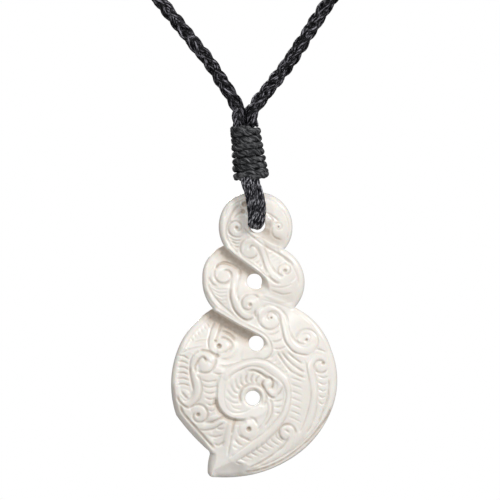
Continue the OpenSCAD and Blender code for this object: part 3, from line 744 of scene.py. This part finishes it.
def charted_lines():
    """Every carved line as (depth, half width, points)."""
    for depth, points in LINES:
        yield depth, SPREAD + LINE_WIDER * depth, curve_through(points, 6)
    for x, z, first, last, start, sweep, late, depth, pit in SCROLLS:
        yield depth, SPREAD + SCROLL_WIDER * depth, scroll_line(x, z, first, last, start, sweep, late)
    for count, depth, sag, *corners in BARS:
        a, b, c, d = (np.array(corner) for corner in corners)
        for t in np.linspace(0, 1, count):
            p, q = a + (c - a) * t, b + (d - b) * t
            side = (0, -sag) if abs(q[0] - p[0]) > abs(q[1] - p[1]) else (sag, 0)
            yield depth, BAR_HALF, curve_through([p, (p + q) / 2 + side, q], 8)
    count, first, last, *ends = GILLS
    for t in np.linspace(0, 1, count):
        outer, inner = (np.array(ends[i]) * (1 - t) + np.array(ends[i + 2]) * t for i in (0, 1))
        angle, r = np.array([outer, (outer + inner) / 2 + (4, 0), inner]).T
        yield first + (last - first) * t, GILL_HALF, curve_through(arc(EYE, r, angle), 8)
    yield RING_DEPTH, RING_HALF, arc(EYE, RING_R, np.linspace(*RING_SPAN, 40))


def carve():
    """How deep each cell of the field is cut by the carved lines and pits."""
    cuts = []
    for number, (depth, half, line) in enumerate(charted_lines()):
        line, s = evenly(line, STAMP_STEP)
        taper = np.minimum(1, 0.25 + np.minimum(s, s[-1] - s) / 0.8)
        uneven = 1 + CUT_UNEVEN * wobble(line[:, 0], line[:, 1], CUT_BUMPS, number)
        cuts.append(np.column_stack([line, DEEPER * depth * taper * uneven, np.full(len(line), half)]))
    for x, z, r, depth in PITS + [(row[0], row[1], row[8], PIT_DEPTH) for row in SCROLLS if row[8]]:
        cuts.append([(x, z, depth, PIT_WIDER * r)])
    x, z, depth, half = np.concatenate(cuts).T
    return stamp(np.zeros_like(FIELD_X), x, z, half.max(),
                 lambda d: (depth * (1 - (d / half) ** 2) ** 2, d < half))


def stamp(field, x, z, reach, value):
    """Raises the field near points to value(point number, distance) where that is higher."""
    flat = field.ravel()
    column, row = np.round((x - FIELD[0]) / CELL).astype(int), np.round((z - FIELD[2]) / CELL).astype(int)
    cells = math.ceil(reach / CELL)
    for i in range(-cells, cells + 1):
        for j in range(-cells, cells + 1):
            d = np.hypot(FIELD[0] + (column + i) * CELL - x, FIELD[2] + (row + j) * CELL - z)
            height, on = value(d)
            np.maximum.at(flat, ((row + j) * COLUMNS + column + i)[on], height[on])
    return flat.reshape(ROWS, COLUMNS)


def raised():
    """How far ridges and domes rise over the ground, for each cell of the field."""
    up = np.zeros_like(FIELD_X)
    for half, height, points in RIDGES:
        line, s = evenly(curve_through(points, 6), STAMP_STEP)
        top = (GROUND + height) * np.minimum(1, 0.35 + np.minimum(s, s[-1] - s) / max(1.2, 1.3 * half))
        up = stamp(up, line[:, 0], line[:, 1], half,
                   lambda d: (top * np.sqrt(np.clip(1 - (d / half) ** 2, 0, 1)) ** 1.3, d < half))
    for x, z, radius, height in DOMES:
        up = stamp(up, np.array([x]), np.array([z]), radius,
                   lambda d: ((GROUND + height) * np.clip(1 - (d / radius) ** 2, 0, 1) ** 0.45, d < radius))
    return up


def kept_plain():
    """1 where the face isn't lowered to the ground, for each cell of the field."""
    kept = np.zeros_like(FIELD_X)
    for half, soft, points in PLAINS:
        line, _ = evenly(curve_through(points, 6), 0.2)
        reach = half + soft
        kept = stamp(kept, line[:, 0], line[:, 1], reach, lambda d: (smooth((reach - d) / soft), d < reach))
    return kept


def sample(field, x, z):
    """The field's value at points, between its cells."""
    u = np.clip((x - FIELD[0]) / CELL, 0, COLUMNS - 1.001)
    v = np.clip((z - FIELD[2]) / CELL, 0, ROWS - 1.001)
    i, j = u.astype(int), v.astype(int)
    u, v = u - i, v - j
    return (field[j, i] * (1 - u) * (1 - v) + field[j, i + 1] * u * (1 - v)
            + field[j + 1, i] * (1 - u) * v + field[j + 1, i + 1] * u * v)


# ---------- pendant: its mesh
def outline_loop(step):
    """The outline as points about a step apart, clockwise, with its corners kept."""
    loop = []
    for i, (x, z, rise) in enumerate(OUTLINE):
        p = np.array((x, z))
        q = np.array(OUTLINE[(i + 1) % len(OUTLINE)][:2])
        span = np.linalg.norm(q - p)
        left = np.array((-(q - p)[1], (q - p)[0])) / span
        side = 1 if rise > 0 else -1
        radius = (span ** 2 / 4 + rise ** 2) / (2 * abs(rise))
        middle = (p + q) / 2 + left * side * (abs(rise) - radius)
        turn = -side * 2 * math.asin(min(1, span / 2 / radius))
        start = math.atan2(*(p - middle)[::-1])
        count = max(2, math.ceil(radius * abs(turn) / step))
        angles = start + turn * np.arange(count) / count
        loop.append(middle + radius * np.column_stack([np.cos(angles), np.sin(angles)]))
    return np.concatenate(loop)


def hole_loop(x, z, d, step):
    """A hole's edge, the other way round, so that the bone is on the right of both."""
    turn = np.linspace(0, 2 * math.pi, round(math.pi * d / step), endpoint=False)
    return np.column_stack([x + d / 2 * np.cos(turn), z + d / 2 * np.sin(turn)])


def inside(x, z, starts, ends):
    """Whether points are in the bone, by the edges that lie to the left of each on its level."""
    rows, level = np.unique(z, return_inverse=True)
    result = np.zeros(len(x), bool)
    order = np.argsort(level, kind="stable")
    bounds = np.searchsorted(level[order], np.arange(len(rows) + 1))
    for k, height in enumerate(rows):
        cross = (starts[:, 1] <= height) != (ends[:, 1] <= height)
        a, b = starts[cross], ends[cross]
        at = np.sort(a[:, 0] + (height - a[:, 1]) / (b[:, 1] - a[:, 1]) * (b[:, 0] - a[:, 0]))
        here = order[bounds[k]:bounds[k + 1]]
        result[here] = np.searchsorted(at, x[here]) % 2 == 1
    return result


def lattice(step):
    """Points of a triangular lattice over the field."""
    rise = step * math.sqrt(3) / 2
    across = np.arange(FIELD[0], FIELD[1], step)
    rows = np.arange(FIELD[2], FIELD[3], rise)
    x, z = np.meshgrid(across, rows)
    x = x + (np.arange(len(rows)) % 2)[:, None] * step / 2
    return np.column_stack([x.ravel(), z.ravel()])


def face_mesh(loops, insets, step):
    """A triangulated sheet inside the loops: points, distance of each from every loop, and triangles. The
    loops' own points come first."""
    starts = np.concatenate(loops)
    ends = np.concatenate([np.roll(loop, -1, axis=0) for loop in loops])
    first = np.cumsum([0] + [len(loop) for loop in loops])
    layers = []
    for loop in loops:
        run = unit(np.roll(loop, -1, axis=0) - np.roll(loop, 1, axis=0))
        inward = np.column_stack([run[:, 1], -run[:, 0]])
        layers += [(loop + inward * inset, inset) for inset in insets]
    extra = np.concatenate([points for points, _ in layers])
    wanted = np.concatenate([np.full(len(points), 0.9 * inset) for points, inset in layers])
    grid = lattice(step)
    extra = np.concatenate([extra, grid])
    wanted = np.concatenate([wanted, np.full(len(grid), insets[-1] + 0.6 * step)])
    inner = inside(extra[:, 0], extra[:, 1], starts, ends)
    extra, wanted = extra[inner], wanted[inner]
    gaps = []
    for loop in loops:
        # first roughly, from every sixth point of the edge
        gap = np.full(len(extra), 1e9)
        for point in loop[::6]:
            gap = np.minimum(gap, np.hypot(extra[:, 0] - point[0], extra[:, 1] - point[1]))
        close = gap < EDGE_NEAR
        gap[close] = to_line(extra[close, 0], extra[close, 1], np.concatenate([loop, loop[:1]]))[0]
        gaps.append(gap)
    gaps = np.array(gaps)
    keep = gaps.min(0) >= wanted
    extra, gaps = extra[keep], gaps[:, keep]
    points = np.concatenate([starts, extra])
    own = np.full((len(loops), len(starts)), EDGE_FAR)
    for k in range(len(loops)):
        own[k, first[k]:first[k + 1]] = 0
    gaps = np.concatenate([own, gaps], axis=1)
    edges = [(first[k] + i, first[k] + (i + 1) % len(loop))
             for k, loop in enumerate(loops) for i in range(len(loop))]
    made = geometry.delaunay_2d_cdt([tuple(p) for p in points.tolist()], edges, [], 0, 1e-6)
    source = np.array([ids[0] for ids in made[3]])
    triangles = source[np.array(made[2])]
    on_edge = (triangles < len(starts)).all(1)
    middle = points[triangles[on_edge]].mean(1)
    bad = np.zeros(len(triangles), bool)
    bad[np.flatnonzero(on_edge)] = ~inside(middle[:, 0], middle[:, 1], starts, ends)
    return points, gaps, triangles[~bad]


def rounding(gap, radius, drop):
    """How far a rounded edge falls at a distance from it."""
    return drop * (1 - np.sqrt(np.clip(1 - np.clip(1 - gap / radius, 0, 1) ** 2, 0, 1)))


def face_height(points, gaps, sunk, radii, drops):
    """Height of the face over the bone's middle plane."""
    x, z = points.T
    height = FACE + FACE_UNEVEN * wobble(x, z, FACE_BUMPS, 5) - sample(sunk, x, z)
    for gap, radius, drop in zip(gaps, radii, drops):
        height = height - rounding(gap, radius, drop)
    return height


def facing(points, triangles, way):
    """The triangles, each turned so that its corners run one way round: 1 anticlockwise, -1 clockwise."""
    a, b, c = (points[triangles[:, k]] for k in range(3))
    return np.where(way * np.cross(b - a, c - a)[:, None] > 0, triangles, triangles[:, ::-1])


def solid_between(front, front_rise, front_faces, back, back_rise, back_faces, loops):
    """One closed mesh from the front and back sheets, which share their edge loops, and a wall between."""
    edge = sum(len(loop) for loop in loops)
    points = [np.column_stack([front[:, 0], -front_rise, front[:, 1]]),
              np.column_stack([back[:, 0], back_rise, back[:, 1]])]
    rows = [np.arange(edge)]
    first = len(front) + len(back)
    for share in (0.25, 0.5, 0.75):
        y = -front_rise[:edge] * (1 - share) + back_rise[:edge] * share
        points.append(np.column_stack([front[:edge, 0], y, front[:edge, 1]]))
        rows.append(first + np.arange(edge))
        first += edge
    rows.append(len(front) + np.arange(edge))
    following = np.concatenate([at + np.roll(np.arange(len(loop)), -1)
                                for at, loop in zip(np.cumsum([0] + [len(loop) for loop in loops]), loops)])
    faces = facing(front, front_faces, 1).tolist()
    faces += (facing(back, back_faces, -1) + len(front)).tolist()
    for upper, lower in zip(rows, rows[1:]):
        faces += np.stack([upper, upper[following], lower[following], lower], -1).tolist()
    return np.concatenate(points), faces


# How far the front sinks, the painted shade at the foot of each step, and the rims
front_sunk, foot_shade, rims = 0, 0, 0
for row in STEPS.values():
    one_drop, one_foot_shade, one_rim = step_drop(*row)
    front_sunk, foot_shade, rims = front_sunk + one_drop, np.maximum(foot_shade, one_foot_shade), np.maximum(rims, one_rim)
cut = carve()
ornament, plain = raised(), kept_plain()
back_sunk = sum(step_drop(*row)[0] for row in BACK_STEPS)

loops = [outline_loop(EDGE_STEP)] + [hole_loop(x, z, d, EDGE_STEP) for x, z, d, _ in HOLES]
radii = [EDGE_R] + [reach for *_, reach in HOLES]
front_points, front_gaps, front_faces = face_mesh(loops, FRONT_INSETS, FRONT_STEP)
back_points, back_gaps, back_faces = face_mesh(loops, BACK_INSETS, BACK_STEP)
front_height = face_height(front_points, front_gaps, front_sunk + cut, radii, FRONT_DROPS)
x, z = front_points.T
low = GROUND * smooth((front_gaps[:2].min(0) - RIM) / RIM_SLOPE) * (1 - sample(np.maximum(rims, plain), x, z))
front_height += np.maximum(-low, sample(ornament, x, z) - GROUND)
front_height -= DOME * smooth(1 - front_gaps[0] / DOME_REACH)
back_height = face_height(back_points, back_gaps, back_sunk, radii, BACK_DROPS)

points, faces = solid_between(front_points, front_height, front_faces,
                              back_points, back_height, back_faces, loops)
# Share of the brown on the bone: in the cuts it is partly stain and partly painted shade, and by the foot of
# each step it is painted shade
cavity = np.zeros(len(points))
cavity[:len(x)] = np.clip(sample(cut, x, z) / CUT_FULL_STAIN_AND_SHADE + sample(foot_shade, x, z), 0, 1)
pendant = mesh_object("bone_twist", points + HANG, faces, "twist", "bone", cavity=cavity)
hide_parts("pendant")

# ---------- materials
def new_material(name, roughness, **settings):
    """A material with a Principled shader, and short ways to add and join nodes."""
    made = bpy.data.materials.new(name)
    made.use_nodes = True
    nodes, links = made.node_tree.nodes, made.node_tree.links
    shader = nodes["Principled BSDF"]
    shader.inputs["Roughness"].default_value = roughness
    for socket, value in settings.items():
        shader.inputs[socket.replace("_", " ")].default_value = value

    def add(kind, inputs=None, **fields):
        node = nodes.new("ShaderNode" + kind)
        for field, value in fields.items():
            setattr(node, field, value)
        for socket, value in (inputs or {}).items():
            if isinstance(value, bpy.types.NodeSocket):
                links.new(value, node.inputs[socket])
            else:
                node.inputs[socket].default_value = value
        return node

    def join(out, socket):
        links.new(out, shader.inputs[socket])

    return made, add, join


def ramp(add, value, low, high, to_low, to_high):
    """A number mapped from one range to another, held at its ends."""
    return add("MapRange", {"Value": value, "From Min": low, "From Max": high,
                            "To Min": to_low, "To Max": to_high}).outputs["Result"]


def times(add, a, b):
    return add("Math", {0: a, 1: b}, operation="MULTIPLY").outputs[0]


def mixed(add, share, a, b):
    """One colour mixed into another by a share."""
    return add("Mix", {0: share, 6: a, 7: b}, data_type="RGBA").outputs[2]


def placed(add, where, scale):
    return add("Mapping", {"Vector": where, "Scale": scale}).outputs["Vector"]


def noise(add, where, scale, detail=2.0, roughness=0.5):
    settings = {"Vector": where, "Scale": scale, "Detail": detail, "Roughness": roughness}
    return add("TexNoise", settings).outputs["Fac"]


def bump(add, height, strength, distance):
    return add("Bump", {"Height": height, "Strength": strength, "Distance": distance}).outputs["Normal"]


# Bone: warm white, faintly clouded, with fine long pores, a darker brown in the cuts that is partly a stain
# and partly painted shade, painted shade by the foot of each step of the twist, and a soft polish
IVORY, IVORY_DEEP = (0.900, 0.872, 0.825, 1), (0.825, 0.785, 0.725, 1)
# The first colour below is the brown of the stain in the cuts, also used as painted shade in them and beside
# the steps
STAIN_AND_PAINTED_SHADE, PORE = (0.46, 0.365, 0.275, 1), (0.60, 0.54, 0.47, 1)
bone, add, join = new_material("carved_bone", 0.32, IOR=1.54, Specular_IOR_Level=0.34, Subsurface_Weight=0.30,
                               Subsurface_Scale=0.0009, Subsurface_Radius=(1.0, 0.6, 0.4))
place = add("TexCoord").outputs["Object"]
cloud = noise(add, place, 130, 3)
grain = noise(add, placed(add, place, (1500, 1500, 130)), 1, 3, 0.6)
pores = noise(add, placed(add, place, (5200, 5200, 900)), 1, 2, 0.6)
dust = noise(add, place, 900, 3, 0.6)
cavity_depth = add("Attribute", attribute_name="cavity").outputs["Fac"]
tone = mixed(add, ramp(add, cloud, 0.38, 0.72, 0.0, 0.55), IVORY, IVORY_DEEP)
tone = mixed(add, ramp(add, grain, 0.55, 0.78, 0.0, 0.30), tone, IVORY_DEEP)
tone = mixed(add, ramp(add, pores, 0.66, 0.76, 0.0, 0.35), tone, PORE)
# painted shade and stain: the brown darkens the cuts (partly stain, partly painted shade) and the foot of
# each step (painted shade)
stain_and_shade_mix = times(add, ramp(add, cavity_depth, 0.12, 0.95, 0.0, 0.74), ramp(add, dust, 0.3, 0.7, 0.7, 1.15))
join(mixed(add, stain_and_shade_mix, tone, STAIN_AND_PAINTED_SHADE), "Base Color")
dull = times(add, ramp(add, cavity_depth, 0.1, 0.9, 0.25, 0.60), ramp(add, cloud, 0.3, 0.7, 0.92, 1.1))
join(dull, "Roughness")
join(bump(add, mixed(add, 0.5, grain, pores), 0.25, 0.00006), "Normal")
pendant.data.materials.append(bone)


def threaded(name, dark, light, roughness, long, fine, depth, share):
    """Waxed thread with fine filaments along each strand, some painted lighter as glints. long and fine are
    the filaments' scales along and across it, and share is where in their noise the painted glints begin and
    are full."""
    made, add, join = new_material(name, roughness, Specular_IOR_Level=0.14)
    laid = add("Attribute", attribute_name="laid").outputs["Vector"]
    filaments = noise(add, placed(add, laid, (long, fine, fine)), 1, 2, 0.6)
    patches = noise(add, placed(add, laid, (0.6, 0.9, 0.9)), 1, 2)
    # painted glints: lighter, smoother filaments in patches
    glint_share = times(add, ramp(add, filaments, *share, 0.0, 1.0), ramp(add, patches, 0.35, 0.7, 0.25, 1.0))
    join(mixed(add, glint_share, dark, light), "Base Color")
    join(ramp(add, glint_share, 0.0, 0.8, roughness, roughness - 0.2), "Roughness")
    join(bump(add, filaments, 0.9, depth), "Normal")
    return made


# Pieces, name, dark colour and the lighter colour of the painted glints, roughness, scales, depth of the
# bump, share of glinting filaments
THREADS = [
    ([neck_cord], "waxed_braid", (0.002, 0.002, 0.003, 1), (0.50, 0.49, 0.56, 1), 0.48, 0.6, 3.6, 0.00035,
     (0.52, 0.70)),
    ([bail], "waxed_strands", (0.010, 0.010, 0.014, 1), (0.80, 0.80, 0.87, 1), 0.45, 0.9, 3.0, 0.00035,
     (0.50, 0.67)),
    ([binding, clasp], "waxed_thread", (0.018, 0.019, 0.021, 1), (0.30, 0.305, 0.315, 1), 0.70, 0.8, 2.8,
     0.00040, (0.45, 0.70)),
]
for pieces, *look in THREADS:
    thread_material = threaded(*look)
    for piece in pieces:
        piece.data.materials.append(thread_material)

# ---------- floor, world and lights
FLOOR_Z, FLOOR_HALF = -600, 300
AIM = (2.7, -14, -195)  # what the lights are turned to


def area_light(name, place, size, power):
    data = bpy.data.lights.new(name, "AREA")
    data.shape, data.size, data.energy = "DISK", size, power
    made = bpy.data.objects.new(name, data)
    made.location = place
    aim = [c * MM for c in AIM]
    made.rotation_euler = (Vector(aim) - Vector(place)).to_track_quat("-Z", "Y").to_euler()
    made.visible_camera = False
    bpy.context.scene.collection.objects.link(made)


floor_mesh = bpy.data.meshes.new("floor")
h = FLOOR_HALF * MM
floor_mesh.from_pydata([(-h, -h, 0), (h, -h, 0), (h, h, 0), (-h, h, 0)], [], [(0, 1, 2, 3)])
floor = bpy.data.objects.new("floor", floor_mesh)
floor.location.z = FLOOR_Z * MM
bpy.context.scene.collection.objects.link(floor)
floor_material, add, join = new_material("floor", 0.8)
mottle = ramp(add, noise(add, add("TexCoord").outputs["Object"], 6), 0.3, 0.7, 0, 1)
join(mixed(add, mottle, (0.70, 0.70, 0.70, 1), (0.72, 0.72, 0.72, 1)), "Base Color")
floor.data.materials.append(floor_material)

world = bpy.data.worlds.new("studio")
bpy.context.scene.world = world
world.use_nodes = True
nodes, links = world.node_tree.nodes, world.node_tree.links
# white where the camera sees it, and a weak warm light for the object
seen, shed = nodes.new("ShaderNodeBackground"), nodes["Background"]
for background, strength, colour in ((seen, 1.0, (1, 1, 1, 1)), (shed, 0.17, (1.0, 0.96, 0.91, 1))):
    background.inputs["Strength"].default_value = strength
    background.inputs["Color"].default_value = colour
choose = nodes.new("ShaderNodeMixShader")
links.new(nodes.new("ShaderNodeLightPath").outputs["Is Camera Ray"], choose.inputs[0])
links.new(shed.outputs[0], choose.inputs[1])
links.new(seen.outputs[0], choose.inputs[2])
links.new(choose.outputs[0], nodes["World Output"].inputs["Surface"])

# Name, place and size in metres, power in watts
for row in (("key", (0.66, -0.78, 0.40), 0.25, 8.15), ("front", (0.0, -0.91, 0.0), 0.25, 2.2),
            ("fill", (-0.41, -0.60, 0.25), 0.16, 1.05), ("back", (-0.3, 0.8, 0.3), 0.4, 6)):
    area_light(*row)

bpy.context.scene.view_settings.view_transform = "Standard"
